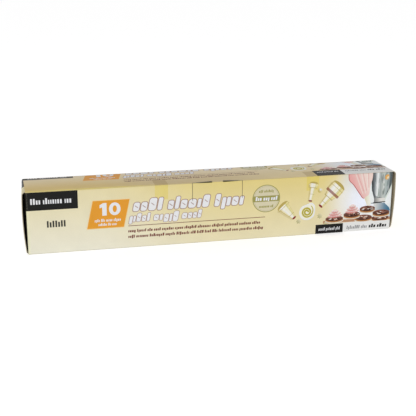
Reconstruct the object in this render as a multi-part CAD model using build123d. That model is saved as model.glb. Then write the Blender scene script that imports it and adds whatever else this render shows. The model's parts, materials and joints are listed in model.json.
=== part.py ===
from build123d import *
import os
from math import asin, degrees, pi, radians, sin, sqrt, tan

# A printed folding carton that holds ten disposable piping bags wound on one coreless roll.
# Millimetres. +X runs along the carton, the main printed face looks along -Y, +Z is up,
# and the origin is the middle of the carton's base.

# Driving dimensions of the carton.
panel_length = 245.0      # crease to crease, along the carton
depth = 33.0              # front face to back face
height = 41.0             # base to lid
board = 0.45              # thickness of the coated carton board
gap = 0.15                # room beside a cut line

# Dispensing tab, cut into the top edge of the front panel.
tab_width = 33.0
tab_drop = 12.0           # from the lid down to the tab's fold
tab_slit = 0.4            # opened cut along the lid, either side of the nick
tab_nick = 7.0            # uncut bridge in the middle of that cut

# End closures: each hangs from the lid, bows outwards and tucks in at the base.
fold_radius = 2.1         # centre line of the soft fold at the lid
lip_turn = 45.0           # degrees of that fold that stay with the lid, down to the hinge line
bow_radius = 220.0        # centre line of the bowed panel
bow_lean = 2.9            # degrees that the panel still spreads below the soft fold
tuck_level = 0.5          # lower edge of the closure, just above the base board
tongue_length = 7.5
tongue_rise = 10.0        # degrees that the tongue rises towards its tip
tongue_margin = 1.3       # from the carton's outer faces to the tongue's sides
tongue_corner = 4.0

# Dust flaps, folded in from the front and back panels.
flap_reach = 14.0
flap_foot = 3.5           # lower edge at the fold, above the tongue
flap_foot_rise = 1.5      # more than that at the free edge
flap_head_room = 0.3      # below the lid's underside at the fold
flap_chamfer = 5.0        # steep part of the upper edge
flap_taper = 15.0         # degrees, the rest of the upper edge
flap_corner = 1.5

# Glue flap inside the back panel.
glue_height = 12.0
glue_setback = 1.5        # from the panel's ends to the flap's root
glue_taper = 3.0          # further setback at the flap's free edge

# Bags: each one is a flat double film, wound on over the last.
bag_count = 10
bag_length = 460.0
bag_width = 230.0
film = 0.065              # one layer, two layers to a bag
roll_hole_radius = 3.0
roll_clearance = 0.3      # between the roll and the base board

# Levels, faces and the roll that follow from them.
half_length = panel_length / 2
half_depth = depth / 2
inner_depth = half_depth - board
lid_underside = height - board
tab_fold = height - tab_drop
bag_section = 2 * film * bag_length
roll_radius = sqrt(roll_hole_radius ** 2 + bag_count * bag_section / pi)
roll_axis_height = board + roll_clearance + roll_radius


def box_between(low, high):
    """A box between two opposite corners."""
    size = [b - a for a, b in zip(low, high)]
    middle = [(a + b) / 2 for a, b in zip(low, high)]
    return Pos(*middle) * Box(*size)


def side_panel():
    """Plain front panel. Each end is mitred at the crease where its dust flap folds in."""
    outline = make_face(Polyline((-half_length, -half_depth), (half_length, -half_depth),
                                 (half_length - board, -inner_depth), (board - half_length, -inner_depth),
                                 close=True))
    return extrude(outline, amount=height)


def front_panel():
    """Front panel with a notch for the tab in its top edge."""
    notch_half = tab_width / 2 + gap
    notch = box_between((-notch_half, -depth, tab_fold), (notch_half, 0, 2 * height))
    return side_panel() - notch


def back_panel():
    return mirror(side_panel(), about=Plane.XZ)


def fold_path():
    """Centre line in XZ of the soft fold at the right end: the lid's lip, then the closure's share."""
    lip = JernArc(start=(half_length, height - board / 2), tangent=(1, 0), radius=fold_radius, arc_size=-lip_turn)
    rest = JernArc(start=lip @ 1, tangent=lip % 1, radius=fold_radius, arc_size=lip_turn + bow_lean - 90)
    return lip, rest


def across_the_end(path):
    """Board that follows a path in XZ, as deep as the carton."""
    return extrude(Plane.XZ * trace(path, line_width=board), amount=half_depth, both=True)


def outer_corner(path):
    """Point on the board's outer face at the end of a path."""
    outward = (path % 1).rotate(Axis.Z, 90)
    return path @ 1 + outward * board / 2


def top_panel():
    """Lid panel. Two opened slits part it from the tab's top edge."""
    panel = box_between((-half_length, -inner_depth, lid_underside), (half_length, inner_depth, height))
    slit_end = tab_width / 2 + gap
    slit = box_between((tab_nick / 2, -depth, 0), (slit_end, -inner_depth + tab_slit, 2 * height))
    return panel - slit - mirror(slit, about=Plane.YZ)


def right_lid_lip():
    """Upper half of the soft fold, which stays with the lid when the closure swings."""
    return across_the_end(fold_path()[0])


def bottom_panel():
    return box_between((-half_length, -inner_depth, 0), (half_length, inner_depth, board))


def glue_flap():
    """Flap folded up from the base panel and glued inside the back panel."""
    root = half_length - glue_setback
    tip = root - glue_taper
    top = board + glue_height
    outline = Plane.XZ * make_face(Polyline((-root, board), (root, board), (tip, top), (-tip, top), close=True))
    return Pos(0, inner_depth, 0) * extrude(outline, amount=board)


def dispenser_tab():
    """Tab that folds out of the front panel's top edge."""
    half = tab_width / 2
    return box_between((-half, -half_depth, tab_fold), (half, -inner_depth, height))


def bow_path():
    """Centre line in XZ of the bowed panel below the soft fold."""
    fold = fold_path()[1]
    widest = (fold @ 1).Y - bow_radius * sin(radians(bow_lean))
    lower_turn = degrees(asin((widest - tuck_level) / bow_radius))
    return JernArc(start=fold @ 1, tangent=fold % 1, radius=bow_radius, arc_size=-bow_lean - lower_turn)


def right_closure():
    """End panel that hangs from the lid's lip and covers the whole end."""
    return across_the_end(fold_path()[1] + bow_path())


def right_tongue():
    """Tuck tongue with rounded corners, rising a little towards its tip."""
    half = half_depth - tongue_margin
    root = board + gap
    outline = make_face(Polyline((-root, -half), (-tongue_length, -half), (-tongue_length, half),
                                 (-root, half), close=True))
    tip_corners = outline.vertices().sort_by(Axis.X)[:2]
    plate = extrude(fillet(tip_corners, radius=tongue_corner), amount=board)
    corner = outer_corner(bow_path())
    return Pos(corner.X, 0, corner.Y) * Rot(0, tongue_rise, 0) * plate


def dust_flap():
    """Right-hand front dust flap, folded in behind the closure. Its root is mitred against the front panel."""
    top_root = lid_underside - flap_head_room
    top_bend = top_root - flap_chamfer
    top_tip = top_bend - (flap_reach - flap_chamfer) * tan(radians(flap_taper))
    outline = make_face(Polyline((0, flap_foot), (flap_reach, flap_foot + flap_foot_rise), (flap_reach, top_tip),
                                 (flap_chamfer, top_bend), (0, top_root), close=True))
    free_corners = outline.vertices().sort_by(Axis.X)[-2:]
    plate = extrude(Plane.YZ * fillet(free_corners, radius=flap_corner), amount=-board)
    mitre = extrude(make_face(Polyline((0, 0), (-board, 0), (-board, board), close=True)), amount=height)
    return Pos(half_length, -half_depth, 0) * (plate - mitre)


def bag(index):
    """One bag of the roll, as the ring that its windings fill. The first is the innermost."""
    inner = sqrt(roll_hole_radius ** 2 + index * bag_section / pi)
    outer = sqrt(roll_hole_radius ** 2 + (index + 1) * bag_section / pi)
    ring = Cylinder(outer, bag_width) - Cylinder(inner, bag_width)
    return Pos(0, 0, roll_axis_height) * Rot(0, 90, 0) * ring


nodes = {
    "front_panel": front_panel(),
    "back_panel": back_panel(),
    "top_panel": top_panel(),
    "bottom_panel": bottom_panel(),
    "glue_flap": glue_flap(),
    "dispenser_tab": dispenser_tab(),
}

ends = {"lid_lip": right_lid_lip(), "end_closure": right_closure(), "tuck_tongue": right_tongue()}
for name, shape in ends.items():
    nodes["right_" + name] = shape
    nodes["left_" + name] = mirror(shape, about=Plane.YZ)

nodes["right_front_dust_flap"] = dust_flap()
nodes["right_back_dust_flap"] = mirror(dust_flap(), about=Plane.XZ)
nodes["left_front_dust_flap"] = mirror(dust_flap(), about=Plane.YZ)
nodes["left_back_dust_flap"] = Rot(0, 0, 180) * dust_flap()

for index in range(bag_count):
    nodes[f"bag_{index + 1:02d}"] = bag(index)

os.makedirs("parts", exist_ok=True)
for name, shape in nodes.items():
    export_step(shape, f"parts/{name}.step")
    print(f"{name:24s} volume {shape.volume:10.1f}")

closure_hinge = outer_corner(fold_path()[0])
tongue_hinge = outer_corner(bow_path())
print(f"closure hinge x {closure_hinge.X:.3f} z {closure_hinge.Y:.3f}")
print(f"tongue hinge x {tongue_hinge.X:.3f} z {tongue_hinge.Y:.3f}")
print(f"roll radius {roll_radius:.3f}, axis height {roll_axis_height:.3f}")
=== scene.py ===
import json
import random
from cmath import exp, phase
from math import asin, ceil, cos, degrees, hypot, pi, radians, sin, sqrt

import bmesh
import bpy
from mathutils import Matrix, Vector
from mathutils.geometry import delaunay_2d_cdt


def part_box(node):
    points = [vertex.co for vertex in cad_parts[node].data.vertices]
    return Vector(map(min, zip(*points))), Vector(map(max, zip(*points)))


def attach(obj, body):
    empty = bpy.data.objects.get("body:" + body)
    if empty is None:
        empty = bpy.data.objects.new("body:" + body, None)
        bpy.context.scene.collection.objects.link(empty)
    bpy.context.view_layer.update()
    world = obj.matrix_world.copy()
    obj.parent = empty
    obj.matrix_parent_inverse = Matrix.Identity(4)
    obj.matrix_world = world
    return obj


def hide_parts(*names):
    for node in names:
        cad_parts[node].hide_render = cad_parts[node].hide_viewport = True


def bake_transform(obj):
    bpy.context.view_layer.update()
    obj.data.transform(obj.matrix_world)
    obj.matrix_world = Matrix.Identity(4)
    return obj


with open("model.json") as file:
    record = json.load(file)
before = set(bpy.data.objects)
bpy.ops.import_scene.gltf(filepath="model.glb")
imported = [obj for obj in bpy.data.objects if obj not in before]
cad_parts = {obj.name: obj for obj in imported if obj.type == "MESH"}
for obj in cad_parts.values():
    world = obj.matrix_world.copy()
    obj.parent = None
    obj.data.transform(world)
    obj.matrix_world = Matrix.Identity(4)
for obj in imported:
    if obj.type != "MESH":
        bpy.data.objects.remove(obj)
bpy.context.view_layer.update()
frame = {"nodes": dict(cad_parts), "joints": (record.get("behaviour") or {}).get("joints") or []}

# A printed folding carton that holds a roll of piping bags. Lengths are in millimetres here,
# and MM takes them to the frame's metres. The printed face looks along -Y, and +Z is up.
MM = 0.001


# ---- Sizes, read from the frame ----

def corners(node):
    """Lowest and highest corner of a CAD node, in millimetres."""
    low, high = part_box(node)
    return low / MM, high / MM


def hinge(name):
    """Where a joint turns, in millimetres."""
    joint = next(j for j in frame["joints"] if j["name"] == name)
    return Vector(joint["pos_m"]) / MM


def metres(x, y, z):
    """A place given in millimetres, in the frame's metres."""
    return Vector((x, y, z)) * MM


def show(name, data):
    """A new object in the scene."""
    made = bpy.data.objects.new(name, data)
    bpy.context.scene.collection.objects.link(made)
    return made


def face_outwards(mesh, sharp):
    """Turns faces outwards and shades them smooth, apart from edges sharper than an angle in degrees."""
    work = bmesh.new()
    work.from_mesh(mesh)
    bmesh.ops.recalc_face_normals(work, faces=work.faces)
    work.to_mesh(mesh)
    work.free()
    mesh.shade_smooth()
    mesh.set_sharp_from_angle(angle=radians(sharp))


front_low, front_high = corners("front_panel")
tab_low, tab_high = corners("dispenser_tab")
_, tongue_high = corners("right_tuck_tongue")
flap_low, flap_high = corners("right_front_dust_flap")
roll_low, roll_high = corners("bag_10")

length = front_high.x - front_low.x
half_length = length / 2
height = front_high.z
half_depth = -front_low.y
depth = 2 * half_depth
board = front_high.y - front_low.y
tab_fold = hinge("tab_hinge").z
lip_hinge = hinge("right_closure_hinge")
tuck_hinge = hinge("right_tongue_fold")
roll_axis = hinge("roll_spin").z

crease = 0.8  # outer radius of the pressed creases
corner_drop = crease * (1 - cos(pi / 4))
lip_radius = (lip_hinge.x - half_length) / sin(pi / 4)
bow_radius = 220.2  # outer face of the bowed closures, as in the CAD
bow_lean = radians(2.9)


# ---- Lines that the board follows ----

class Profile:
    """A line in a plane made of straight and round stretches. Its outer side is on its left."""

    def __init__(self, start, heading, stretches):
        self.start, self.stretches = start, stretches
        self.parts = []
        self.length = 0.0
        point = start
        for run, turn in stretches:
            self.parts.append((self.length, run, turn, point, heading))
            point += self.step(run, turn, heading)
            heading += turn
            self.length += run
        self.end, self.end_heading = point, heading

    @staticmethod
    def step(run, turn, heading):
        """Travel along a stretch that turns evenly."""
        if abs(turn) < 1e-9:
            return run * exp(1j * heading)
        return run * (exp(1j * (heading + turn)) - exp(1j * heading)) / (1j * turn)

    def at(self, distance):
        """Point and outward direction at a distance along the line."""
        part = self.parts[0]
        for candidate in self.parts:
            if distance >= candidate[0]:
                part = candidate
        reach, run, turn, point, heading = part
        gone = distance - reach
        turned = turn * gone / run
        return point + self.step(gone, turned, heading), exp(1j * (heading + turned + pi / 2))

    def marks(self, spacing, turn_step=radians(9)):
        """Distances at which the board needs a line of vertices."""
        found = [0.0]
        for reach, run, turn, _, _ in self.parts:
            count = max(1, ceil(run / spacing), ceil(abs(turn) / turn_step))
            found += [reach + run * k / count for k in range(1, count + 1)]
        return found


def round_stretch(radius, turn):
    """A stretch that turns to the right."""
    return radius * turn, -turn


def wall_profile(corner, heading, span):
    """One side of the carton's girth, from the middle of one rounded crease to the middle of the next."""
    eighth = round_stretch(crease, pi / 4)
    start = corner + corner_drop * (exp(1j * (heading - pi / 4)) + exp(1j * (heading + 5 * pi / 4))) / sqrt(2)
    return Profile(start, heading + pi / 4, [eighth, (span - 2 * crease, 0.0), eighth])


# ---- Printing ----

def linear(level):
    """Linear value of a display level from 0 to 255."""
    share = level / 255
    return share / 12.92 if share <= 0.04045 else ((share + 0.055) / 1.055) ** 2.4


FACE_LIGHT = 0.88  # light that the front face sends back from pure white


def tone(code):
    """Reflectance that shows on the lit front face as a display colour, which is given as 0xRRGGBB."""
    return tuple(min(0.9, linear(code >> shift & 255) / FACE_LIGHT) for shift in (16, 8, 0))


def mix(first, second, share):
    return tuple(a + (b - a) * share for a, b in zip(first, second))


def smooth(low, high, value):
    """0 below low, 1 above high, and a smooth rise between them."""
    share = min(1.0, max(0.0, (value - low) / (high - low)))
    return share * share * (3 - 2 * share)


def fade(first, second, start, end):
    """Ink that changes from one colour to another between two points."""
    run = (end[0] - start[0], end[1] - start[1])
    size = run[0] ** 2 + run[1] ** 2

    def ink(u, v):
        share = ((u - start[0]) * run[0] + (v - start[1]) * run[1]) / size
        return mix(first, second, min(1.0, max(0.0, share))), 1.0
    return ink


def glow(colour, centre, reach, cover=1.0):
    """Ink that thins out to nothing at its edge. Reach is its half width and half height."""
    def ink(u, v):
        away = hypot((u - centre[0]) / reach[0], (v - centre[1]) / reach[1])
        return colour, cover * (1 - smooth(0.0, 1.0, away))
    return ink


def block(u0, v0, u1, v1):
    return [(u0, v0), (u1, v0), (u1, v1), (u0, v1)]


def oval(u, v, half_width, half_height, tilt=0.0, count=20):
    turned = exp(1j * radians(tilt))
    ring = []
    for k in range(count):
        angle = 2 * pi * k / count
        point = complex(half_width * cos(angle), half_height * sin(angle)) * turned
        ring.append((u + point.real, v + point.imag))
    return ring


def blob(points, steps=4):
    """Smooth closed outline through a few points."""
    ring = [complex(*p) for p in points]
    found = []
    for k in range(len(ring)):
        a, b, c, d = (ring[(k + j) % len(ring)] for j in (-1, 0, 1, 2))
        for j in range(steps):
            t = j / steps
            bend, twist = 2 * a - 5 * b + 4 * c - d, 3 * b - a - 3 * c + d
            p = b + (c - a) * t / 2 + bend * t ** 2 / 2 + twist * t ** 3 / 2
            found.append((p.real, p.imag))
    return found


def bar(start, end, width, tip=4):
    """Straight stroke with round ends."""
    a, b = complex(*start), complex(*end)
    along = (b - a) / abs(b - a)
    found = []
    for centre, turned in ((b, along), (a, -along)):
        for k in range(tip + 1):
            point = centre + width / 2 * turned * exp(1j * (pi * k / tip - pi / 2))
            found.append((point.real, point.imag))
    return found


class Print:
    """Inks on a blank, each inside a closed outline and laid over the ones before it."""

    def __init__(self, ground):
        self.ground = ground
        self.layers = []
        self.shift = 0.0  # moves what is added next up the sheet

    def add(self, outline, ink, cover=1.0):
        """Lays an even ink with its cover, or an ink that gives its colour and cover at each place."""
        shift = self.shift
        moved = [(u, v + shift) for u, v in outline]
        laid = ink if callable(ink) else lambda u, v: (ink, cover)
        self.layers.append((moved, lambda u, v: laid(u, v - shift)))

    def colour(self, layers, u, v):
        shown = self.ground(u, v)
        for index in layers:
            colour, cover = self.layers[index][1](u, v)
            shown = mix(shown, colour, cover)
        return shown


PALE = tone(0xE2DFCE)
CREAM = tone(0xD9C67A)
BLACK = tone(0x0E0E0C)
WHITE = tone(0xDEDFE2)
STRIP = tone(0xDEDEDC)
ORANGE = tone(0xDB952B)
BROWN = tone(0x6C3028)
PLUM = tone(0x9C7E76)
OLIVE = tone(0x969152)
STONE = tone(0xD1C8AB)
GOLD = tone(0xBCA846)
IVORY = tone(0xE2DABA)
RUBY = tone(0x802A28)
COATED = tone(0xE1E0D8)
# painted highlight where light catches the rounded crease between the front and the lid
CREASE_HIGHLIGHT = tone(0xFFD47A)
# painted highlight where light catches the left end crease
EDGE_HIGHLIGHT = tone(0xFCF0BE)
# painted shade along the bottom crease, where the carton meets the floor
BASE_SHADE = tone(0x928E7E)


def front_ground(u, v):
    """Cream that deepens to the right and upwards, with painted highlights along the lid crease, the tab's top
    edge and the left end, and painted shade along the base.
    """
    colour = mix(PALE, CREAM, min(1.0, (33 * smooth(36, 130, u) + 1.15 * v) / 85))
    # painted highlight along the top crease at the left and along the tab's top edge
    highlight_reach = max(smooth(100, 45, u), 0.7 * (abs(u - half_length) < tab_high.x))
    colour = mix(colour, CREASE_HIGHLIGHT, 0.8 * smooth(0.5, 0.2, height - v) * highlight_reach)
    # painted highlight down the left end crease
    colour = mix(colour, EDGE_HIGHLIGHT, 0.6 * smooth(1.5, 0.6, u))
    # painted shade along the bottom crease
    return mix(colour, BASE_SHADE, 0.75 * smooth(0.7, 0.0, v))


def top_ground(u, v):
    """The same cream on the lid, deepest at the front crease, with a painted highlight along that crease at
    the left.
    """
    deep = mix(tone(0xD4B974), tone(0xCAB588), smooth(40, 90, u))
    deep = mix(deep, tone(0xD8C596), smooth(110, 170, u))
    deep = mix(deep, tone(0xE0D0AE), smooth(2, 34, v))
    # painted highlight on the lid side of the front crease, fading out to the right
    return mix(deep, CREASE_HIGHLIGHT, 0.95 * smooth(1.3, 0.5, v) * smooth(100, 45, u))


def small_print(sheet, start, end, foot, tall, ink, seed, wide=0.4, lean=0.12):
    """A line of greeked small print: words of plain blocks, none of them a letter."""
    chance = random.Random(seed)
    u = start
    while u < end - wide * tall:
        for _ in range(chance.randint(3, 8)):
            across = chance.uniform(0.75, 1.35) * wide * tall
            low = foot - (0.2 * tall if chance.random() < 0.12 else 0.0)
            high = foot + tall * (1.0 if chance.random() < 0.28 else 0.7)
            if u + across < end:
                upright = block(u, low, u + across, high)
                sheet.add([(x + lean * (y - foot), y) for x, y in upright], ink)
            u += across + 0.16 * tall
        u += 0.3 * tall


def bold_line(sheet, start, end, foot, tall, ink, seed, edge):
    """A line of greeked heading: solid leaning blocks with a dark rim, none of them a letter."""
    chance = random.Random(seed)
    shapes = []
    u = start
    word = chance.randint(4, 6)
    while u < end - 0.22 * tall:
        wide = min(chance.uniform(0.26, 0.62) * tall, end - u)
        high = tall * chance.choice((0.7, 0.7, 0.7, 1.0))
        low = foot - (0.24 * tall if chance.random() < 0.15 else 0.0)
        shapes.append((u, low, wide, foot + high - low))
        u += wide + 0.13 * tall
        word -= 1
        if word == 0:
            u += 0.35 * tall
            word = chance.randint(4, 6)
    for grow, colour in ((0.06 * tall, edge), (0.0, ink)):
        for u, low, wide, high in shapes:
            sheet.add(leaning(u, low, wide, high, 0.2, grow), colour)
    for u, low, wide, high in shapes:
        if wide > 0.4 * tall:
            across = u + wide / 2 + 0.2 * (low + high / 2 - foot)
            level = low + 0.48 * high
            slit = bar((across - 0.1 * tall, level + 0.1 * tall),
                       (across + 0.1 * tall, level - 0.06 * tall), 0.07 * tall)
            sheet.add(slit, edge, 0.8)


def leaning(u, v, wide, high, lean, grow):
    """Upright block with rounded corners, leaning to the right."""
    radius = 0.3 * min(wide, high)
    ring = []
    for turn, cu, cv in ((0, wide - radius, high - radius), (1, radius, high - radius),
                         (2, radius, radius), (3, wide - radius, radius)):
        for k in range(4):
            spoke = (radius + grow) * exp(1j * pi / 2 * (turn + k / 3))
            up = cv + spoke.imag
            ring.append((u + cu + spoke.real + lean * up, v + up))
    return ring


def draw_badge(sheet):
    """Leaning badge with the count of bags."""
    low, high = 14.6, 32.9
    for grow, ink in ((0.45, tone(0xE4CD96)), (0, ORANGE)):
        sheet.add([(37.4 - grow, low - grow), (60.8 + grow, low - grow),
                   (64.9 + grow, high + grow), (41.5 - grow, high + grow)], ink)
    foot, head = 22.9, 31.2
    one = [(47.3, foot), (50.1, foot), (50.1, head), (47.9, head), (45.7, 29.9), (45.7, 27.9), (47.3, 28.5)]
    sheet.add(one, WHITE)
    middle = (foot + head) / 2
    sheet.add(oval(55.3, middle, 3.7, (head - foot) / 2 + 0.1, count=28), WHITE)
    sheet.add(oval(55.3, middle, 1.35, 2.3), ORANGE)
    small_print(sheet, 42.3, 58.8, 18.8, 2, WHITE, seed=4, wide=0.28)
    small_print(sheet, 44.6, 56.6, 16.1, 1.8, WHITE, seed=5, wide=0.28)


def draw_heading(sheet):
    """Two heading lines, a rule and two lines of small print."""
    bold_line(sheet, 66.7, 139.4, 24.5, 8.2, WHITE, seed=3, edge=PLUM)
    bold_line(sheet, 64, 111.7, 17.5, 5.5, WHITE, seed=12, edge=PLUM)
    sheet.add(block(63.7, 14.7, 155, 15.1), BROWN)
    small_print(sheet, 63.5, 151.9, 10.5, 2, BROWN, seed=21)
    small_print(sheet, 63.5, 154.3, 6.7, 2, BROWN, seed=22)


def draw_seal(sheet):
    """Round seal with a band across it."""
    u, v, radius = 155.6, 27.6, 9.5
    rings = ((0, OLIVE), (0.55, STONE), (1, mix(OLIVE, STONE, 0.6)), (1.3, tone(0xCEC6A8)))
    for inset, ink in rings:
        sheet.add(oval(u, v, radius - inset, radius - inset, count=48), ink)
    sheet.add(block(u - radius + 0.4, v - 2.1, u + radius - 0.4, v + 1.9), OLIVE)
    small_print(sheet, u - 7.4, u + 7.6, v - 1.3, 2.7, WHITE, seed=31)
    for level, half, seed in ((4.2, 5.2, 32), (-6.2, 5, 33)):
        small_print(sheet, u - half, u + half, v + level, 1.8, OLIVE, seed=seed)


def metal(across):
    """Colour of a bright brass tube at a place across it, from -1 to 1."""
    stops = ((-1, 0xA88C3C), (-0.8, 0xDCD09C), (-0.35, 0xF4F2E6), (0.1, 0xE6E0C2),
             (0.3, 0xF0EEDE), (0.52, 0xBEB24E), (0.66, 0xE4DCA6), (1, 0xCCBC7C))
    for (low, first), (high, second) in zip(stops, stops[1:]):
        if across <= high:
            return mix(tone(first), tone(second), (across - low) / (high - low))
    return tone(stops[-1][1])


def draw_nozzle(sheet, mouth, tip, shape, rings):
    """A metal piping nozzle. Shape gives its half width at shares of its length, and rings go across it."""
    start, along = complex(*mouth), complex(*tip) - complex(*mouth)
    across = 1j * along / abs(along)

    def place(share, aside):
        point = start + along * share + across * aside
        return point.real, point.imag

    def half_at(share):
        for (low, first), (high, second) in zip(shape, shape[1:]):
            if share <= high:
                return first + (second - first) * (share - low) / (high - low)
        return shape[-1][1]

    def strip(low, high, wider=0):
        """Part of the side between two shares of its half width."""
        near = [place(share, half * low - wider) for share, half in shape]
        return near + [place(share, half * high) for share, half in shape[::-1]]

    tilt = degrees(phase(along))
    sheet.add([(u - 0.3, v - 0.5) for u, v in strip(-1, 1, 0.5)], tone(0xAA9860), 0.3)
    sheet.add(oval(*place(0, 0), 0.42 * shape[0][1], shape[0][1], tilt), tone(0xB09C54))
    strips = 12
    for k in range(strips):
        low, high = 2 * k / strips - 1, 2 * (k + 1) / strips - 1
        sheet.add(strip(low, high), metal((low + high) / 2))
    for share, wide, colour in rings:
        half = half_at(share) + 0.15
        sheet.add([place(*spot) for spot in block(share, -half, share + wide, half)], colour, 0.75)
    sheet.add(oval(*place(1, 0), 0.5 * shape[-1][1], shape[-1][1] + 0.15, tilt), RUBY)


def draw_nozzles(sheet):
    shade = tone(0xA69652)
    draw_nozzle(
        sheet, (167.2, 21.7), (175.4, 12.9),
        ((0, 4.5), (0.09, 4.6), (0.13, 3.8), (0.5, 2.9), (1, 1.4)),
        ((0.09, 0.03, shade), (0.3, 0.02, IVORY), (0.72, 0.03, shade)))
    draw_nozzle(
        sheet, (188.6, 36), (186.4, 24),
        ((0, 3), (0.08, 3.2), (0.2, 3), (0.26, 1.9), (1, 1.2)),
        ((0.08, 0.03, IVORY), (0.22, 0.04, shade), (0.6, 0.02, shade)))
    draw_nozzle(
        sheet, (206.2, 33.4), (193.8, 19.9),
        ((0, 5.2), (0.1, 5.5), (0.3, 5.4), (0.36, 4.6), (0.5, 3.6), (0.55, 3.5), (0.58, 2.3), (1, 1.5)),
        ((0.1, 0.02, shade), (0.3, 0.1, RUBY), (0.42, 0.02, IVORY), (0.55, 0.03, shade), (0.8, 0.02, shade)))
    sheet.add(oval(193.1, 31, 1.7, 1.7), fade(GOLD, IVORY, (191.6, 30), (194.6, 32)))
    sheet.add(oval(193.4, 31.4, 0.6, 0.6, count=10), WHITE)
    for u, v, radius, turn in ((178.5, 10.1, 2, 10), (193.5, 13, 2.2, 40), (197.6, 7.4, 1.2, 70)):
        star = [radius * (1 if k % 2 else 0.6) * exp(1j * (radians(turn) + pi * k / 7)) for k in range(14)]
        lit = fade(OLIVE, IVORY, (u - 2, v - 2), (u + 2, v + 2))
        sheet.add([(u + p.real, v + p.imag) for p in star], lit)


def draw_swirl(sheet):
    """A piped spiral on a white round."""
    u, v = 184.3, 16.3
    for grow, ink in ((0.8, WHITE), (0, tone(0xE8E3CE))):
        part = 0.7 * grow
        sheet.add(blob([
            (u + 4.8 + grow, v), (u + 4.7 + grow, v + 4), (u + 2.9 + grow / 3, v + 5.5 + grow),
            (u - 0.4, v + 4.5 + grow), (u - 3.6 - part, v + 3 + part), (u - 4.7 - grow, v - 0.6),
            (u - 3 - 0.6 * grow, v - 4 - part), (u + 0.6, v - 4.8 - grow), (u + 4 + part, v - 3 - part),
        ]), ink)
    turns, start, end = 2.2, 0.8, 4.1
    inner, outer = [], []
    for k in range(49):
        share = k / 48
        spoke = exp(1j * (2 * pi * turns * share - 0.25))
        middle = start + (end - start) * share + 0.9 * smooth(0.9, 1, share)
        half = 0.62 * (1 - 0.6 * share ** 6)
        inner.append((u + (middle - half) * spoke.real, v + (middle - half) * spoke.imag))
        outer.append((u + (middle + half) * spoke.real, v + (middle + half) * spoke.imag))
    sheet.add(outer + inner[::-1], tone(0xACA030))


def draw_biscuit(sheet, u, v, half_width, half_height):
    """A chocolate biscuit seen from a low angle, with a paler underside and a crumbly top."""
    sheet.add(oval(u, v - 0.95 * half_height, 1.02 * half_width, 0.8 * half_height), tone(0xD6CEBE))
    sheet.add(oval(u, v - 0.45 * half_height, half_width, half_height), tone(0xA8703E))
    lit = fade(tone(0x321812), tone(0x845242), (u, v - half_height), (u, v + half_height))
    sheet.add(oval(u, v, half_width, half_height), lit)
    chance = random.Random(int(10 * u + v))
    for _ in range(13):
        away, angle = chance.uniform(0.1, 0.85), chance.uniform(0, 2 * pi)
        sheet.add(oval(u + away * half_width * cos(angle), v + 0.2 + 0.8 * away * half_height * sin(angle),
                       chance.uniform(0.4, 1.3), chance.uniform(0.18, 0.36), count=8),
                  chance.choice((tone(0xBE8C76), tone(0x22100C), tone(0xF0DCD0))))


def draw_cream(sheet, u, v, half_width, tall):
    """A piped rosette of pink cream: tiers of lobes with lit upper edges."""
    deep, pink, pale = tone(0xC06664), tone(0xEAA8A2), tone(0xFFE6E0)
    for level, (wide, lobes) in enumerate(((1, 5), (0.82, 4), (0.5, 3))):
        high = v + tall * (0.2 + 0.27 * level)
        half = half_width * wide
        rise = fade(deep, pink, (u, high - 0.25 * tall), (u, high))
        sheet.add(oval(u, high, half, 0.24 * tall, tilt=5), rise)
        for k in range(lobes):
            at = u + half * (2 * (k + 0.5) / lobes - 1) * 0.86
            sheet.add(oval(at, high + 0.03 * tall, 0.9 * half / lobes, 0.19 * tall, tilt=-28, count=12),
                      fade(deep, pale, (at + 0.4, high - 0.2 * tall), (at - 0.2, high + 0.16 * tall)))


BLEED = 248  # the right end's inks run on this far, past the end crease


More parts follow.
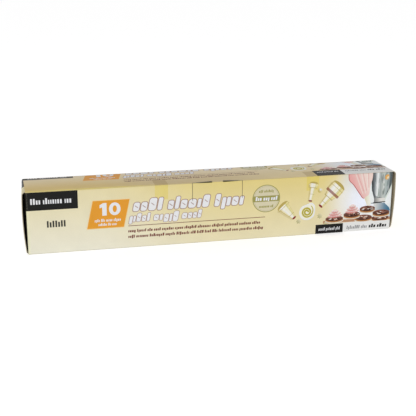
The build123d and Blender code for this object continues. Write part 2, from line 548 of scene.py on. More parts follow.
def draw_scene(sheet):
    """Soft still life at the right: a steel bowl, a filled pink bag and biscuits with cream."""
    def fill(outline, first, second, start, end):
        """Adds an outline that fades from one display colour to another."""
        sheet.add(outline, fade(tone(first), tone(second), start, end))

    sheet.add(oval(222, 22, 31, 30, count=36), glow(tone(0xE9EBEC), (224, 22), (33, 34), 1.4))
    sheet.add(block(204, 20, BLEED, 44), glow(tone(0xCDD4DA), (222, 41), (20, 18), 0.9))
    fill(block(228.6, 19.2, BLEED, 45), 0x969EA0, 0xCED2D0, (232, 30), (246, 34))
    stripes = ((228.6, 0x606268), (230.2, 0x34363A), (232.2, 0x787E82), (234.2, 0xE2E6E6),
               (236.2, 0x969E9C), (238.4, 0xBAC0BA), (241, 0xA0ACAA), (243.4, 0x707C7E), (248, 0x606C70))
    for (start, first), (end, second) in zip(stripes, stripes[1:]):
        fill(block(start, 20, end, 46), first, second, (start, 30), (end, 30))
    shadows = (
        [(228.7, 46), (231, 46), (230.4, 38), (231.4, 32), (230.2, 27), (228.7, 33)],
        [(231, 30), (233, 25), (236.8, 23.4), (241, 22.4), (233, 21.6), (231.6, 24.5)],
        [(243, 45), (246.4, 45), (245.4, 34), (243.4, 29), (240.4, 24.6), (243, 33)])
    for shadow in shadows:
        sheet.add(blob(shadow), tone(0x2A3236), 0.6)
    chance = random.Random(6)
    for _ in range(30):
        ring = oval(chance.uniform(229.5, 244.5), chance.uniform(22, 44), chance.uniform(0.2, 0.6),
                    chance.uniform(0.9, 3.4), tilt=chance.uniform(-16, 8), count=10)
        sheet.add(ring, chance.choice((tone(0x3C484A), tone(0xF0F3F0), tone(0x74887C))), 0.42)
    backdrop = tone(0xE2E8EE)
    rim = [(240, 22.6), (242.4, 27.4), (244.8, 33), (246.2, 39), (246.6, 46)]
    sheet.add([(239.2, 19.8), *rim, (BLEED, 46), (BLEED, 19.8)], tone(0xCED6CC))
    beyond = [(u + 0.7, v - 0.5) for u, v in rim]
    sheet.add([(240, 19.8), *beyond, (BLEED, 46), (BLEED, 19.8)], backdrop)
    before = [(227.5, 46), (229.8, 46), (229.6, 37), (230.2, 29), (232.2, 22.6), (232.4, 19.8), (227.5, 19.8)]
    sheet.add(before, backdrop)
    sheet.add(oval(240.9, 37.6, 1.5, 1.9, tilt=-20), tone(0xE8A43E), 0.8)
    sheet.add(oval(241.5, 37.2, 0.7, 1, tilt=-20), tone(0xF0DEBE), 0.8)
    fill(block(232.2, 20, 240, 23), 0x606264, 0xD6D4CE, (232, 21), (237, 22))
    sheet.add(bar((231.8, 19.7), (240.2, 20.1), 0.8), tone(0x2C2E32))
    fill(block(238, 9.2, BLEED, 19.8), 0xE2E6E8, 0xBAC8CE, (243, 19), (243, 10))
    fill([(231.6, 13.5), (232.2, 19.3), (239.8, 19.5), (243.6, 15.8), (244.6, 13.5)],
         0xD4D4D0, 0x40708C, (232, 17), (241, 16))
    sheet.add(block(196, 7.2, BLEED, 9.2), tone(0xB08464))
    bag = blob([(213.6, 37.6), (214.6, 45), (222, 48), (229.4, 45), (230.4, 37.8), (228.9, 31.4),
                (228.3, 26), (224.8, 23.4), (221, 28), (217.2, 33.4)])
    sheet.add([(u - 0.5, v - 0.2) for u, v in bag], tone(0xB0585A))
    fill(bag, 0xDE9E9C, 0xF6CEC6, (217, 31), (226, 35))
    pleats = (((217.6, 42), (223.9, 26.6)), ((221.4, 43.5), (225.8, 27)), ((225.8, 42.5), (227.4, 29)))
    for start, end in pleats:
        sheet.add(bar(start, end, 0.5), tone(0xFADED6), 0.7)
        sheet.add(bar((start[0] + 1.3, start[1]), (end[0] + 0.5, end[1] + 2), 0.4), tone(0xCE8686), 0.6)
    fill([(225, 23.6), (228.4, 26), (230.2, 18.6), (227.4, 17.8)], 0xD6CCAC, 0xF0ECDC, (225, 22), (229, 22))
    for place in ((227.6, 16, 5.6, 2), (237.3, 8.9, 6.3, 1.9), (237.9, 12.6, 6.3, 2),
                  (225.1, 9.8, 6.3, 2), (216.5, 12.6, 6, 2), (204, 10.4, 6.4, 1.9)):
        draw_biscuit(sheet, *place)
    for place in ((204.2, 11.2, 5.1, 5.6), (216.7, 13.6, 4.9, 6)):
        draw_cream(sheet, *place)


def draw_foot_strip(sheet, head=6.7, foot=-3):
    """Black name block and white strip at the lower right, both greeked."""
    sheet.add(block(190.8, foot, 210.5, head), BLACK)
    small_print(sheet, 193, 208.4, 2.3, 2.2, WHITE, seed=41, wide=0.2)
    sheet.add(block(210.5, foot, BLEED, head), STRIP)
    small_print(sheet, 213.2, 228.3, 2.1, 2.4, tone(0x8C8C8E), seed=42, wide=0.35)
    small_print(sheet, 229.4, 243.6, 2.1, 2.6, BLACK, seed=43, wide=0.5)


def draw_name_block(sheet, low=28.9, high=height - 0.2, text_level=32.9):
    """Black name block at the upper left, greeked."""
    sheet.add(block(-3, low, 32.2, high), BLACK)
    small_print(sheet, 2.9, 28.6, text_level, 3.8, WHITE, seed=51, wide=0.22, lean=0)


def draw_tapes(sheet, low, high, colour):
    """Two strips of clear tape over the front crease, which only deepen the print."""
    width = 8.6
    for start in (81.2, 183.4):
        sheet.add(block(start, low, start + width, high), colour, 0.38)


def draw_code(sheet, u, v):
    """An inkjet code as plain upright blocks."""
    step, wide, tall = 1.75, 1.1, 4.3
    for k in range(7):
        left = u + step * k
        sheet.add(block(left, v, left + wide, v + tall - 0.9 * (k % 3 == 1)), tone(0x34342E))


def draw_main(sheet):
    """What the front and the lid both carry."""
    for draw in (draw_scene, draw_nozzles, draw_swirl, draw_seal, draw_badge, draw_heading):
        draw(sheet)


def front_print():
    sheet = Print(front_ground)
    draw_tapes(sheet, 31.3, height + 1, tone(0xD5C019))
    draw_code(sheet, 12.4, 17.4)
    draw_main(sheet)
    draw_foot_strip(sheet)
    draw_name_block(sheet)
    return sheet


def top_print():
    sheet = Print(top_ground)
    draw_tapes(sheet, -1, 11, tone(0x967834))
    sheet.shift = 4.5
    draw_main(sheet)
    draw_foot_strip(sheet, 7.2, foot=-9)
    sheet.shift = 0
    draw_name_block(sheet, 28.8, 36, 31.2)
    return sheet


front_sheet = front_print()
top_sheet = top_print()


# ---- Board ----

def signed_area(ring):
    return sum(a[0] * b[1] - b[0] * a[1] for a, b in zip(ring, ring[1:] + ring[:1])) / 2


def cut(blank, sheet, u_lines, v_lines):
    """Triangles of a blank, split along its inks' outlines and along lines of constant u and v."""
    low = [min(p[k] for p in blank) for k in (0, 1)]
    high = [max(p[k] for p in blank) for k in (0, 1)]
    points, edges, rings, inks = [], [], [], [None]

    def add_ring(ring):
        if signed_area(ring) < 0:
            ring = ring[::-1]
        rings.append(list(range(len(points), len(points) + len(ring))))
        points.extend(Vector(p) for p in ring)

    add_ring(blank)
    for index, (ring, _) in enumerate(sheet.layers):
        if all(min(p[k] for p in ring) < high[k] and max(p[k] for p in ring) > low[k] for k in (0, 1)):
            add_ring(ring)
            inks.append(index)
    for u in u_lines:
        edges.append((len(points), len(points) + 1))
        points.extend((Vector((u, low[1])), Vector((u, high[1]))))
    for v in v_lines:
        edges.append((len(points), len(points) + 1))
        points.extend((Vector((low[0], v)), Vector((high[0], v))))
    spots, _, faces, _, _, owners = delaunay_2d_cdt(points, edges, rings, 0, 1e-5, True)
    kept = [(face, sorted(inks[k] for k in owner if k)) for face, owner in zip(faces, owners) if 0 in owner]
    used = sorted({k for face, _ in kept for k in face})
    renumber = {k: n for n, k in enumerate(used)}
    return ([tuple(spots[k]) for k in used],
            [([renumber[k] for k in face], owner) for face, owner in kept])


def make_board(node, blank, sheet, surface, u_lines, v_lines, also=(), fold=None):
    """A closed piece of board: a printed face, a raw face one thickness behind it, and cut edges.

    It replaces a CAD node and any others in also. It rides on the carton, or, when a fold is given, is left
    unparented with its placement applied to its mesh.
    """
    spots, faces = cut(blank, sheet, u_lines, v_lines)
    count = len(spots)
    outer, inner = [], []
    for u, v in spots:
        point, outward = surface(u, v)
        outer.append(point * MM)
        inner.append((point - outward * board) * MM)
    sides = {}
    for face, _ in faces:
        for a, b in zip(face, face[1:] + face[:1]):
            if (b, a) in sides:
                del sides[(b, a)]
            else:
                sides[(a, b)] = True
    polygons = [face for face, _ in faces]
    polygons += [[k + count for k in reversed(face)] for face, _ in faces]
    polygons += [[b, a, a + count, b + count] for a, b in sides]
    mesh = bpy.data.meshes.new(f"{node}_board")
    mesh.from_pydata(outer + inner, [], polygons)
    shown = len(faces)
    mesh.polygons.foreach_set("material_index", [0] * shown + [1] * shown + [2] * len(sides))

    ink = mesh.color_attributes.new("ink", "FLOAT_COLOR", "CORNER")
    colours = []
    for face, owner in faces:
        for k in face:
            colours.extend((*sheet.colour(owner, *spots[k]), 1.0))
    colours += [0.5] * (4 * len(mesh.loops) - len(colours))
    ink.data.foreach_set("color", colours)

    edges = [(Vector(spots[a]), Vector(spots[b])) for a, b in sides]
    wear = mesh.attributes.new("wear", "FLOAT", "POINT")
    worn = [wear_at(Vector(p), edges) for p in spots]
    wear.data.foreach_set("value", worn + worn)
    flat_map = mesh.uv_layers.new(name="flat")
    corner_points = [spots[k % count] for polygon in polygons for k in polygon]
    flat_map.data.foreach_set("uv", [c for p in corner_points for c in p])

    face_outwards(mesh, 28)
    for skin in (printed_board, raw_board, cut_edge):
        mesh.materials.append(skin)
    piece = show(mesh.name, mesh)
    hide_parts(node, *also)
    if fold:
        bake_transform(piece)
    else:
        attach(piece, "carton")


WEAR_REACH = 1.1


def wear_at(point, edges):
    """1 at an edge or crease of the blank, falling to 0 a little way in."""
    nearest = WEAR_REACH
    for a, b in edges:
        run = b - a
        share = min(1.0, max(0.0, (point - a).dot(run) / max(run.length_squared, 1e-9)))
        nearest = min(nearest, (a + run * share - point).length)
    return 1 - nearest / WEAR_REACH


def spread(low, high, spacing):
    """Evenly spaced places from low to high, both kept, with one more just inside each."""
    count = max(1, round((high - low) / spacing))
    places = [low + (high - low) * k / count for k in range(count + 1)]
    return sorted(places + [low + WEAR_REACH, high - WEAR_REACH])


def bulge(u, v):
    """How far a long panel stands proud of flat between its creases."""
    inside = smooth(0, 14, u) * smooth(0, 14, length - u) * smooth(0, 12, v) * smooth(0, 12, depth - v)
    return inside * (0.16 + 0.07 * sin(u / 23 + v / 11) + 0.05 * sin(u / 9.5 - v / 17))


def wall_surface(profile, span, facing=1, puff=1.0):
    """Surface of a long panel: u runs along the carton, v along the profile, and facing is -1 on the back."""
    def surface(u, v):
        point, outward = profile.at(v * profile.length / span)
        normal = Vector((0, outward.real, outward.imag))
        level = Vector((facing * (u - half_length), point.real, point.imag))
        return level + normal * puff * bulge(u, v), normal
    return surface


def wall_lines(profile, span):
    marks = [mark * span / profile.length for mark in profile.marks(7.0)]
    return sorted(marks + [WEAR_REACH, span - WEAR_REACH])


def flap_surface(wall, side):
    """Surface of a dust flap: it leaves the wall, turns the crease and springs out against the closure."""
    profile = Profile(complex(half_length - crease, 0), 0.0, [round_stretch(crease, pi / 2), (30.0, 0.0)])

    def surface(u, v):
        base, normal = wall(0.0, min(height, max(0.0, v)))
        gone = max(0.0, u - (length - crease), crease - u)
        point, outward = profile.at(gone)
        across = Vector((side, 0, 0))
        place = Vector((0, base.y, base.z)) + across * point.real + normal * point.imag
        place += (across * closure_room(v, place.y) * smooth(-2.0, 13.0, gone)
                  * smooth(crease, crease + 2, gone))
        return place, across * outward.real + normal * outward.imag
    return surface


# ---- Materials ----

class Nodes:
    """Short ways to add shader nodes to a material."""

    def __init__(self, name, **fixed):
        self.material = bpy.data.materials.new(name)
        self.material.use_nodes = True
        self.tree = self.material.node_tree
        self.shader = self.tree.nodes["Principled BSDF"]
        for socket, value in fixed.items():
            self.shader.inputs[socket.replace("_", " ")].default_value = value

    def put(self, socket, value):
        """Links a node's output to a socket, or sets it to a plain value."""
        if isinstance(value, bpy.types.NodeSocket):
            self.tree.links.new(value, socket)
        else:
            socket.default_value = value

    def place(self, kind, output, sockets=(), **settings):
        """Adds a node, gives its sockets links or plain values, and returns one of its outputs."""
        node = self.tree.nodes.new("ShaderNode" + kind)
        for key, value in settings.items():
            setattr(node, key, value)
        for socket, value in dict(sockets).items():
            self.put(node.inputs[socket], value)
        return node.outputs[output]

    def attribute(self, name, output):
        return self.place("Attribute", output, attribute_name=name)

    def noise(self, vector, scale, detail=3.0, roughness=0.5):
        sockets = {"Vector": vector, "Scale": scale, "Detail": detail, "Roughness": roughness}
        return self.place("TexNoise", "Fac", sockets)

    def stretch(self, vector, scale):
        return self.place("Mapping", "Vector", {"Vector": vector, "Scale": scale})

    def cells(self, vector, scale):
        return self.place("TexVoronoi", "Distance", {"Vector": vector, "Scale": scale})

    def span(self, *values):
        """Smooth change of a value's range. Values are the value, its old range and its new range."""
        return self.place("MapRange", "Result", enumerate(values), interpolation_type="SMOOTHSTEP")

    def math(self, operation, first, second):
        return self.place("Math", "Value", {0: first, 1: second}, operation=operation)

    def blend(self, share, first, second, kind="MIX"):
        """Mixes two colours: a Mix node takes them at sockets 6 and 7 and gives one at output 2."""
        first, second = ((*c, 1.0) if isinstance(c, tuple) else c for c in (first, second))
        return self.place("Mix", 2, {0: share, 6: first, 7: second}, data_type="RGBA", blend_type=kind)

    def bump(self, heights, distance, strength=1.0):
        """Relief in millimetres."""
        sockets = {"Distance": distance * MM, "Strength": strength, "Height": heights}
        return self.place("Bump", "Normal", sockets)

    def finish(self, colour, roughness, relief):
        for socket, value in (("Base Color", colour), ("Roughness", roughness), ("Normal", relief)):
            self.put(self.shader.inputs[socket], value)
        return self.material


def make_printed_board():
    """Offset print under a thin varnish: fine grain, faint unevenness, and cracked ink along creases."""
    paint = Nodes("printed_board", IOR=1.45, Specular_IOR_Level=0.2, Coat_Weight=0.05, Coat_Roughness=0.18)
    place = paint.attribute("flat", "Vector")
    ink = paint.attribute("ink", "Color")
    worn = paint.attribute("wear", "Fac")
    fibre = paint.noise(paint.stretch(place, (0.6, 1.7, 1.0)), 2.6, 4.0, 0.6)
    cloud = paint.noise(place, 0.07, 2.0)
    dots = paint.cells(place, 5.5)
    grain = paint.math("ADD", paint.span(fibre, 0.3, 0.7, 0.955, 1.02),
                       paint.span(dots, 0.0, 0.6, -0.012, 0.012))
    shade = paint.math("MULTIPLY", grain, paint.span(cloud, 0.3, 0.7, 0.98, 1.015))
    body = paint.blend(1.0, ink, shade, "MULTIPLY")
    flecks = paint.noise(place, 1.9, 5.0, 0.75)
    cracked = paint.math("MULTIPLY", paint.span(worn, 0.4, 1.0, 0.0, 1.0),
                         paint.span(flecks, 0.5, 0.66, 0.0, 0.4))
    body = paint.blend(cracked, body, (0.66, 0.61, 0.46))
    dull = paint.math("ADD", paint.span(fibre, 0.25, 0.75, 0.33, 0.47), paint.math("MULTIPLY", cracked, 0.3))
    relief = paint.math("ADD", paint.math("MULTIPLY", fibre, 0.35), paint.noise(place, 0.12, 2.0))
    return paint.finish(body, dull, paint.bump(relief, 0.05, 0.6))


def make_raw_board():
    """Uncoated grey-brown back of recycled board, with long fibres and specks."""
    paint = Nodes("raw_board", IOR=1.4)
    place = paint.attribute("flat", "Vector")
    fibre = paint.noise(paint.stretch(place, (0.5, 3.0, 1.0)), 1.5, 5.0, 0.7)
    cloud = paint.noise(place, 0.35, 3.0)
    specks = paint.cells(place, 0.9)
    body = paint.blend(paint.span(fibre, 0.3, 0.7, 0.0, 1.0), (0.36, 0.30, 0.20), (0.52, 0.45, 0.32))
    body = paint.blend(paint.span(cloud, 0.35, 0.65, 0.0, 0.45), body, (0.44, 0.38, 0.27))
    body = paint.blend(paint.span(specks, 0.03, 0.1, 0.75, 0.0), body, (0.22, 0.18, 0.12))
    return paint.finish(body, paint.span(fibre, 0.3, 0.7, 0.78, 0.95), paint.bump(fibre, 0.06, 0.8))


def make_cut_edge():
    """Sheared edge of the board: pale plies with loose fibre."""
    paint = Nodes("cut_edge", IOR=1.4)
    place = paint.place("TexCoord", "Object")
    fibre = paint.noise(place, 2600.0, 4.0, 0.7)
    body = paint.blend(paint.span(fibre, 0.35, 0.65, 0.0, 1.0), (0.42, 0.36, 0.25), (0.56, 0.50, 0.37))
    return paint.finish(body, paint.span(fibre, 0.3, 0.7, 0.82, 0.96), paint.bump(fibre, 0.04, 0.7))


def make_film():
    """Clear film in many layers: milky, glossy and a little wrinkled along the roll."""
    paint = Nodes("film", IOR=1.5, Coat_Weight=0.5, Coat_Roughness=0.08)
    place = paint.place("TexCoord", "Object")
    drawn = paint.noise(paint.stretch(place, (40.0, 420.0, 420.0)), 1.0, 4.0, 0.6)
    cloud = paint.noise(place, 45.0, 2.0)
    body = paint.blend(paint.span(drawn, 0.3, 0.7, 0.0, 1.0), (0.62, 0.67, 0.70), (0.80, 0.84, 0.86))
    return paint.finish(body, paint.span(cloud, 0.3, 0.7, 0.16, 0.32), paint.bump(drawn, 0.12, 0.5))


printed_board = make_printed_board()
raw_board = make_raw_board()
cut_edge = make_cut_edge()
film_skin = make_film()


# ---- Carton ----

front_profile = wall_profile(complex(-half_depth, 0), pi / 2, height)
top_profile = wall_profile(complex(-half_depth, height), 0.0, depth)
back_profile = wall_profile(complex(half_depth, height), -pi / 2, height)
bottom_profile = wall_profile(complex(half_depth, 0), pi, depth)
front_wall = wall_surface(front_profile, height)
top_wall = wall_surface(top_profile, depth)
back_down = wall_surface(back_profile, height, facing=-1)
bottom_wall = wall_surface(bottom_profile, depth, puff=-0.6)


def back_wall(u, v):
    """The back panel as it reads from behind, v up."""
    return back_down(u, height - v)


def back_print():
    """The back carries the same cream, a name block and greeked directions."""
    sheet = Print(front_ground)
    draw_foot_strip(sheet)
    draw_name_block(sheet)
    sheet.add(block(46, 30.7, 154, 31.1), BROWN)
    for row in range(6):
        small_print(sheet, 46, 97 - 6 * (row == 5), 26.6 - 3.2 * row, 1.7, BROWN, seed=61 + row)
        small_print(sheet, 103, 154 - 9 * (row == 4), 26.6 - 3.2 * row, 1.7, BROWN, seed=71 + row)
    for k in range(31):
        left, wide = 8 + 0.95 * k, (0.35, 0.7, 0.35, 1.05, 0.35, 0.7)[k * k % 6]
        sheet.add(block(left, 6, left + 0.5 * wide, 20), BLACK)
    draw_nozzles(sheet)
    draw_swirl(sheet)
    return sheet


def bottom_print():
    """The base is plain cream with one greeked line."""
    sheet = Print(lambda u, v: front_ground(u, 6))
    small_print(sheet, 70, 175, 15.6, 2, BROWN, seed=81)
    return sheet


tab_left, tab_right = half_length + tab_low.x, half_length + tab_high.x
tab_nick = 3.5  # half the uncut bridge in the middle of its top edge
cut_gap = 0.3  # opened cut beside the tab
tab_root = tab_fold - 0.6  # the tab's piece begins a little below its fold


def make_front():
    left, right = tab_left - cut_gap, tab_right + cut_gap
    blank = [(crease, 0), (length - crease, 0), (length - crease, height), (right, height), (right, tab_root),
             (left, tab_root), (left, height), (crease, height)]
    u_lines = spread(crease, length - crease, 7.0) + [left - WEAR_REACH, right + WEAR_REACH]
    make_board("front_panel", blank, front_sheet, front_wall, u_lines, wall_lines(front_profile, height))


def make_tab():
    dip = 0.3  # the tab's edge drops below the middle of the crease beside the nick
    crown = [(half_length + aside, height - drop)
             for aside, drop in ((tab_nick, 0), (tab_nick + 0.3, dip), (tab_nick + 5, 0.9 * dip))]
    blank = [(tab_left - cut_gap, tab_root), (tab_right + cut_gap, tab_root), (tab_right + cut_gap, tab_fold),
             (tab_right, tab_fold + cut_gap), (tab_right, height), *crown[::-1],
             *[(length - u, v) for u, v in crown], (tab_left, height),
             (tab_left, tab_fold + cut_gap), (tab_left - cut_gap, tab_fold)]
    folds = [tab_fold + 0.2 * k for k in range(-2, 4)] + [height + 0.3, height + 0.6]
    onto_lid = [round_stretch(crease, pi / 4), (3.0, 0)]
    profile = Profile(front_profile.start, 3 * pi / 4, [*front_profile.stretches, *onto_lid])
    over_top = wall_surface(profile, height * profile.length / front_profile.length)
    make_board("dispenser_tab", blank, front_sheet, over_top, spread(tab_left, tab_right, 5.0),
               folds + wall_lines(front_profile, height),
               fold=("carton", "dispenser_tab", metres(0, -half_depth, tab_fold - 0.4),
                     metres(0, -half_depth, tab_fold + 0.6)))


def make_top():
    slit = tab_right - half_length + cut_gap
    lips = ((tab_nick, 0), (tab_nick + 0.4, 1.9), (tab_nick + 6, 1.2), (slit - 0.6, 0.35), (slit, 0))
    notch = []
    for side in (-1, 1):
        notch += [(half_length + side * aside, gape) for aside, gape in lips[::side]]
    blank = [(0, 0), *notch, (length, 0), (length, depth), (0, depth)]
    make_board("top_panel", blank, top_sheet, top_wall,
               spread(0, length, 7.0), wall_lines(top_profile, depth))


def make_back():
    blank = [(crease, 0), (length - crease, 0), (length - crease, height), (crease, height)]
    make_board("back_panel", blank, back_sheet, back_wall, spread(crease, length - crease, 7.0),
               [height - v for v in wall_lines(back_profile, height)])


def make_bottom():
    make_board("bottom_panel", block(0, 0, length, depth), bottom_print(), bottom_wall,
               spread(0, length, 7.0), wall_lines(bottom_profile, depth))


back_sheet = back_print()


# ---- Ends ----

bow_start = Profile(complex(half_length, height), 0.0, [round_stretch(lip_radius, pi / 2 - bow_lean)])
bow_turn = bow_lean + asin((bow_start.end.imag - bow_radius * sin(bow_lean) - tuck_hinge.z) / bow_radius)
tuck_crease = 0.6
tongue_rise = radians(10)
tuck_turn = pi / 2 + tongue_rise - (bow_turn - bow_lean)
# The rounded tuck fold starts this far early.
tuck_room = tuck_crease * sin(tuck_turn / 2) / cos(tuck_turn / 2)
end_profile = Profile(complex(half_length, height), 0.0,
                      [round_stretch(lip_radius, pi / 2 - bow_lean),
                       round_stretch(bow_radius, bow_turn - tuck_room / bow_radius)])
tongue_length = 7.5
tongue_profile = Profile(end_profile.end, end_profile.end_heading,
                         [round_stretch(tuck_crease, tuck_turn), (tongue_length - tuck_room, 0.0)])


def bow_share(y):
    """The closures bow fully at the front and lie closer to the ends at the back."""
    return 1 - 0.6 * smooth(-half_depth - 6, half_depth + 4, y)


def closure_room(level, y):
    """Room between the end crease and the inside of the bowed closure, less a little clearance."""
    steps, clearance = 40, 0.07
    past_lip = 0.08  # share of the closure's length above its bow
    for k in range(steps + 1):
        point, outward = end_profile.at(end_profile.length * (past_lip + (1 - past_lip) * k / steps))
        if (point - outward * board).imag <= level:
            return max(0.0, (point.real - half_length) * bow_share(y) - board - clearance)
    return 0.3


def end_surface(profile, side):
    """Surface that runs across an end, as seen from outside: u to the right, v up the profile."""
    def surface(u, v):
        point, outward = profile.at(profile.length - v)
        y = side * u
        share = bow_share(y)
        proud = point.real - half_length
        x = half_length + proud * (share if proud > 0 else 1)
        normal = Vector((side * outward.real / share, 0, outward.imag)).normalized()
        return Vector((side * x, y, point.imag)), normal
    return surface


def end_print(side):
    """The left end carries on the lid's black block, and the right end the lid's white strip."""
    top = end_profile.length
    if side < 0:
        sheet = Print(lambda u, v: mix(front_ground(5, 4), front_ground(5, 38), smooth(4, top, v)))
        sheet.add(block(-half_depth - 1, top - 12.4, 3.5, top + 1), BLACK)
        small_print(sheet, 2 - half_depth, 1.6, top - 8.4, 3.2, WHITE, seed=91, wide=0.22, lean=0)
    else:
        sheet = Print(lambda u, v: mix(front_ground(200, 20), tone(0xE0DCCE), smooth(8, top, v)))
        sheet.add(block(-half_depth - 1, top - 1.2, -4.6, top + 1), STRIP)
    for row in range(3):
        small_print(sheet, -12, 12 - 5 * (row == 2), 20 - 3.4 * row, 1.7, BROWN, seed=95 + row)
    return sheet


def make_end(name, side):
    """An end closure with its half of the lid's soft fold, and the tongue that it tucks in with."""
    edge, top = half_depth - 0.1, end_profile.length
    cut_in, cut_up = 0.6, 2.2  # the lower corners are cut back
    blank = [(cut_in - edge, 0), (edge - cut_in, 0), (edge, cut_up), (edge, top), (-edge, top),
             (-edge, cut_up)]
    lip = metres(side * half_length, 0, height)
    bowed = metres(side * (half_length + 2.0), 0, height - 3.1)
    make_board(f"{name}_end_closure", blank, end_print(side), end_surface(end_profile, side),
               spread(-edge, edge, 5.5), [top - mark for mark in end_profile.marks(5.0, radians(6))],
               also=[f"{name}_lid_lip"], fold=("carton", f"{name}_closure", lip, bowed))
    half, root, corner = tongue_high.y, tongue_profile.length, 4
    turns = [pi / 2 * k / 8 for k in range(9)]
    tip = [(half - corner + corner * sin(turn), corner - corner * cos(turn)) for turn in turns]
    blank = [*tip, (half, root), (-half, root), *[(-u, v) for u, v in tip[::-1]]]
    above = metres(side * tuck_hinge.x, 0, tuck_hinge.z + 0.6)
    beside = metres(side * (tuck_hinge.x - 0.6), 0, tuck_hinge.z)
    make_board(f"{name}_tuck_tongue", blank, Print(lambda u, v: COATED), end_surface(tongue_profile, side),
               spread(-half, half, 5.5), [root - mark for mark in tongue_profile.marks(2.5, radians(12))],
               fold=(f"{name}_closure", f"{name}_tongue", above, beside))


def make_dust_flap(end, side, face):
    """A dust flap that continues the front or back sheet past its end crease."""
    node = f"{end}_{face}_dust_flap"
    wall, sheet = (front_wall, front_sheet) if face == "front" else (back_wall, back_sheet)
    right_hand = (side > 0) == (face == "front")
    foot, reach = flap_low.z, flap_high.y + half_depth
    turned = crease * (pi / 2 - 2)  # the arc against the two flats that it replaces
    tip = reach + turned
    chamfer, slope = 5.0, 0.268  # of the upper edge, steep at the root and then shallow
    root_top, bend_top = flap_high.z, flap_high.z - chamfer
    tip_top = bend_top - (reach - chamfer) * slope
    ring = [(-crease, 0), (0.3, 0), (0.5, foot), (tip - 1.5, foot + 1.3), (tip, foot + 2.8),
            (tip, tip_top - 1.5), (tip - 1.5, tip_top + 0.4), (chamfer, bend_top), (0.5, root_top),
            (0.3, height), (-crease, height)]
    place = (lambda gone: length + gone) if right_hand else (lambda gone: -gone)
    blank = [(place(gone), v) for gone, v in ring]
    # The right flaps' outer face is coated white. The left flaps' is printed black as painted shade for the
    # deep, unlit gap behind the bowed left closure.
    coat_or_gap_shade = COATED if side > 0 else BLACK
    edge = (2.9, 3.1) if side > 0 else (-0.3, 0.2)
    bleed = Print(lambda u, v: mix(sheet.ground(u, v), coat_or_gap_shade, smooth(*edge, max(-u, u - length))))
    bleed.layers = sheet.layers
    around = [crease * (k / 8 * pi / 2 - 1) for k in range(9)]
    u_lines = [place(gone) for gone in (*around, 2.0, 2.9, 3.1, 6.0, 10.0)]
    v_lines = spread(0, height, 6.0) + front_profile.marks(50)
    nearer = -1 if face == "front" else 1
    start = metres(side * (half_length - crease), nearer * half_depth, 0)
    turned_in = metres(side * half_length, nearer * (half_depth - crease), 0)
    make_board(node, blank, bleed, flap_surface(wall, side), u_lines, v_lines,
               fold=("carton", f"{end}_{face}_flap", start, turned_in))


# ---- Roll of bags ----

bag_count = 10
pitch = 0.13  # two layers of film to each turn
hole = 3.0
roll_radius = (roll_high.z - roll_low.z) / 2
roll_half = roll_high.x


def make_bag(index):
    """One bag, wound on over the last. The outermost has a free end that stands off a little."""
    area = (roll_radius ** 2 - hole ** 2) / bag_count
    parting = 0.008  # turns left open before the next bag starts
    first = (sqrt(hole ** 2 + index * area) - hole) / pitch
    last = (sqrt(hole ** 2 + (index + 1) * area) - hole) / pitch - parting
    outermost = index == bag_count - 1
    stations_a_turn = 44
    stations = ceil((last - first) * stations_a_turn)
    columns = 14 if outermost else 3
    thickness = 0.1
    points = []
    for k in range(stations + 1):
        turns = first + (last - first) * k / stations
        angle = 2 * pi * turns + pi / 2
        lift = 0.18 * smooth(0.25, 0.0, last - turns) if outermost else 0.0
        half = roll_half - 0.2 - 0.18 * sin(5.1 * turns) - 0.1 * sin(13.7 * turns + index)
        for layer in (0.0, thickness):
            for c in range(columns + 1):
                x = half * (2 * c / columns - 1)
                ripple = 0.02 * sin(x / 7 + 3 * angle) if outermost and layer else 0.0
                radius = hole + pitch * turns - pitch / 2 + layer + lift + ripple
                points.append((x, -radius * cos(angle), roll_axis + radius * sin(angle)))
    row = columns + 1
    faces = []
    for k in range(stations):
        here, there = 2 * row * k, 2 * row * (k + 1)
        for c in range(columns):
            faces.append((here + c, here + c + 1, there + c + 1, there + c))
            faces.append((here + row + c, there + row + c, there + row + c + 1, here + row + c + 1))
        faces.append((here, there, there + row, here + row))
        faces.append((here + columns, here + row + columns, there + row + columns, there + columns))
    for base in (0, 2 * row * stations):
        faces += [(base + c, base + row + c, base + row + c + 1, base + c + 1) for c in range(columns)]
    mesh = bpy.data.meshes.new(f"bag_{index + 1:02d}_film")
    mesh.from_pydata([Vector(p) * MM for p in points], [], faces)
    face_outwards(mesh, 40)
    mesh.materials.append(film_skin)
    piece = show(mesh.name, mesh)
    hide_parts(f"bag_{index + 1:02d}")
    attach(piece, "bag_roll")


# ---- Setting ----

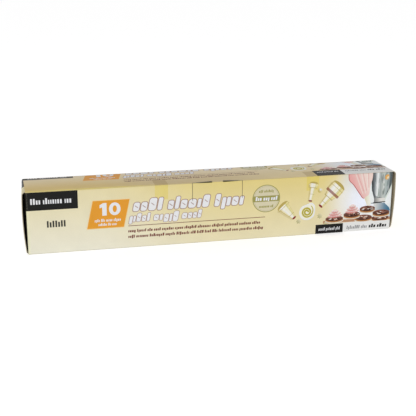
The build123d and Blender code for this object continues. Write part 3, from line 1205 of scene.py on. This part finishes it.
def make_camera():
    """Long lens, low in front of the carton and to its left."""
    lens = bpy.data.cameras.new("camera")
    lens.lens, lens.sensor_width = 77.6, 36.0
    camera = show("camera", lens)
    right = Vector((0.9731, -0.2303, 0.0047)).normalized()
    forward = Vector((0.2219, 0.9317, -0.2876)).normalized()
    up = right.cross(forward)
    camera.matrix_world = Matrix.Translation((-0.1359, -0.5604, 0.1912)) @ Matrix(
        (right, up, -forward)).transposed().to_4x4()
    bpy.context.scene.camera = camera


def make_floor():
    """White sweep that glows softly, as under a light tent."""
    mesh = bpy.data.meshes.new("floor")
    reach = 6.0
    mesh.from_pydata([(u, v, 0) for u, v in block(-reach, -reach, reach, reach)], [], [(0, 1, 2, 3)])
    paint = Nodes("floor", Roughness=0.9, Emission_Strength=0.5)
    paint.put(paint.shader.inputs["Base Color"], (0.8, 0.8, 0.8, 1.0))
    paint.put(paint.shader.inputs["Emission Color"], (1.0, 1.0, 1.0, 1.0))
    mesh.materials.append(paint.material)
    show("floor", mesh)


def make_lights():
    """Even white surroundings and one wide soft light behind the camera."""
    world = bpy.data.worlds.new("studio")
    bpy.context.scene.world = world
    world.use_nodes = True
    sky = world.node_tree.nodes["Background"]
    sky.inputs["Color"].default_value = (1.0, 1.0, 1.0, 1.0)
    sky.inputs["Strength"].default_value = 0.6
    lamp = bpy.data.lights.new("softbox", "AREA")
    lamp.shape, lamp.size, lamp.size_y = "RECTANGLE", 1.4, 0.8
    lamp.energy = 4.0
    box = show("softbox", lamp)
    box.location = (-0.4, -1.3, 1.1)
    box.rotation_euler = (Vector((0, 0, 0.02)) - box.location).to_track_quat("-Z", "Y").to_euler()
    bpy.context.scene.view_settings.view_transform = "Standard"


make_camera()
make_floor()
make_lights()
make_front()
make_tab()
make_top()
make_back()
make_bottom()
for end, side in (("right", 1), ("left", -1)):
    make_end(end, side)
    for face in ("front", "back"):
        make_dust_flap(end, side, face)
for index in range(bag_count):
    make_bag(index)
glue_flap = frame["nodes"]["glue_flap"]
glue_flap.data.materials.clear()
glue_flap.data.materials.append(raw_board)
